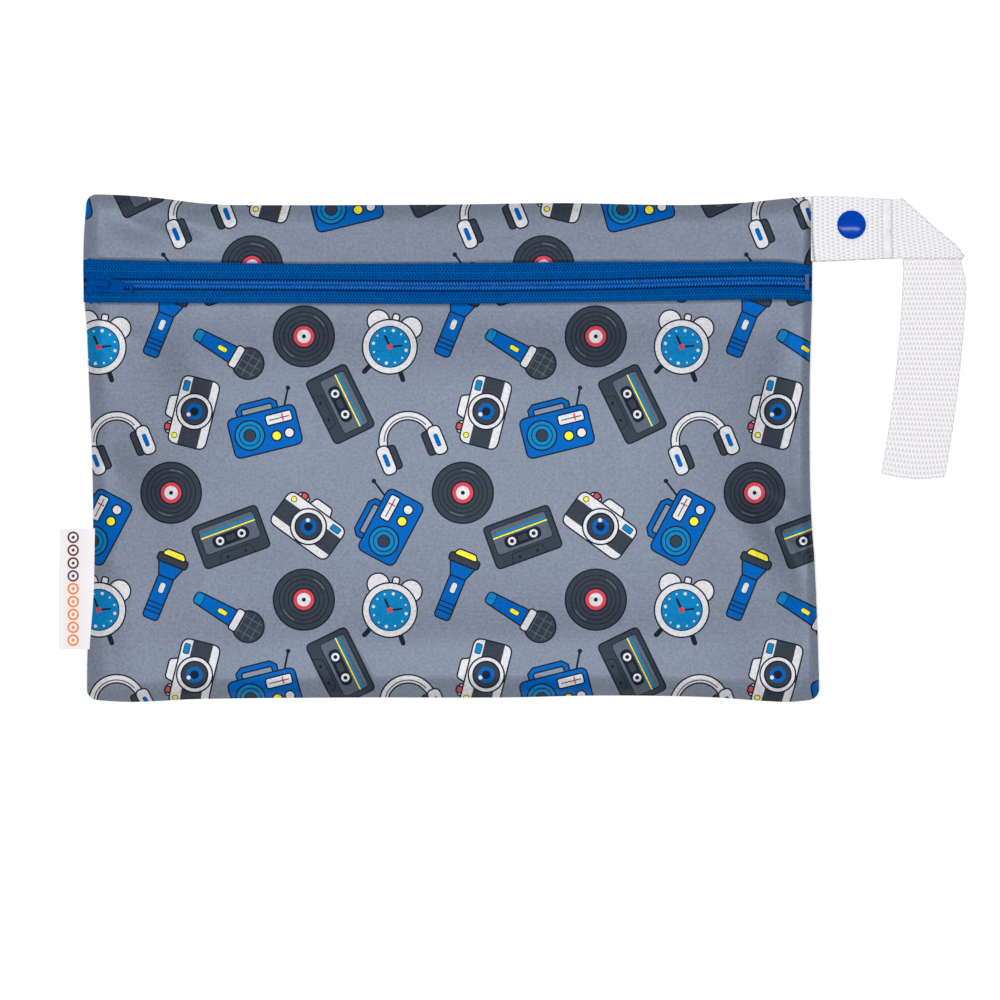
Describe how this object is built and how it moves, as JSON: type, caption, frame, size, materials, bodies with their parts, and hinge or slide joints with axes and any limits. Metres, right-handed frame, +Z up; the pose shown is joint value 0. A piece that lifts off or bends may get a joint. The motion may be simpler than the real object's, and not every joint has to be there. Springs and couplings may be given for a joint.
{
  "type": "wet bag",
  "caption": "Flat zip pouch of laminated print cloth for damp nappies, with a webbing snap handle and a plain side label.",
  "frame": {"origin": "middle of the back panel's flat underside, on the surface that the pouch lies on", "axes": "+X runs across the pouch towards the handle's side, +Y towards the edge that the zip is near, +Z up out of the front"},
  "size_m": [0.3492, 0.1962, 0.0119],
  "materials": {
    "cloth": "printed polyester knit with a waterproof laminate behind it, soft sheen",
    "back_cloth": "the same printed knit on the back",
    "zip_tape": "woven polyester herringbone tape, matt",
    "zip_coil": "dyed polyester coil, smooth",
    "steel": "crimped metal stop, satin",
    "slider_paint": "die-cast zinc enamelled blue",
    "webbing": "white basket-weave polypropylene webbing, matt",
    "snap_plastic": "acetal resin, glossy",
    "satin": "white satin ribbon, printed with a plain chain of rings"
  },
  "bodies": {
    "bag": {"lower_front_panel": "cloth", "upper_front_panel": "cloth", "back_panel": "back_cloth", "zip_tape_upper": "zip_tape", "zip_tape_lower": "zip_tape", "zip_coil_upper": "zip_coil", "zip_coil_lower": "zip_coil", "zip_end_stop": "steel", "zip_slider": "slider_paint", "handle_strap": "webbing", "snap_cap": "snap_plastic", "snap_core": "snap_plastic", "snap_back_cap": "snap_plastic", "side_label": "satin"},
    "tab": {"pull_tab": "slider_paint"}
  },
  "joints": [
    {"name": "pull_tab_hinge", "type": "hinge", "parent": "bag", "child": "tab", "pos_m": [-0.13581, 0.06441, 0.00969], "axis": [-0.0698, -0.9976, 0], "range_deg": [0, 175]}
  ]
}
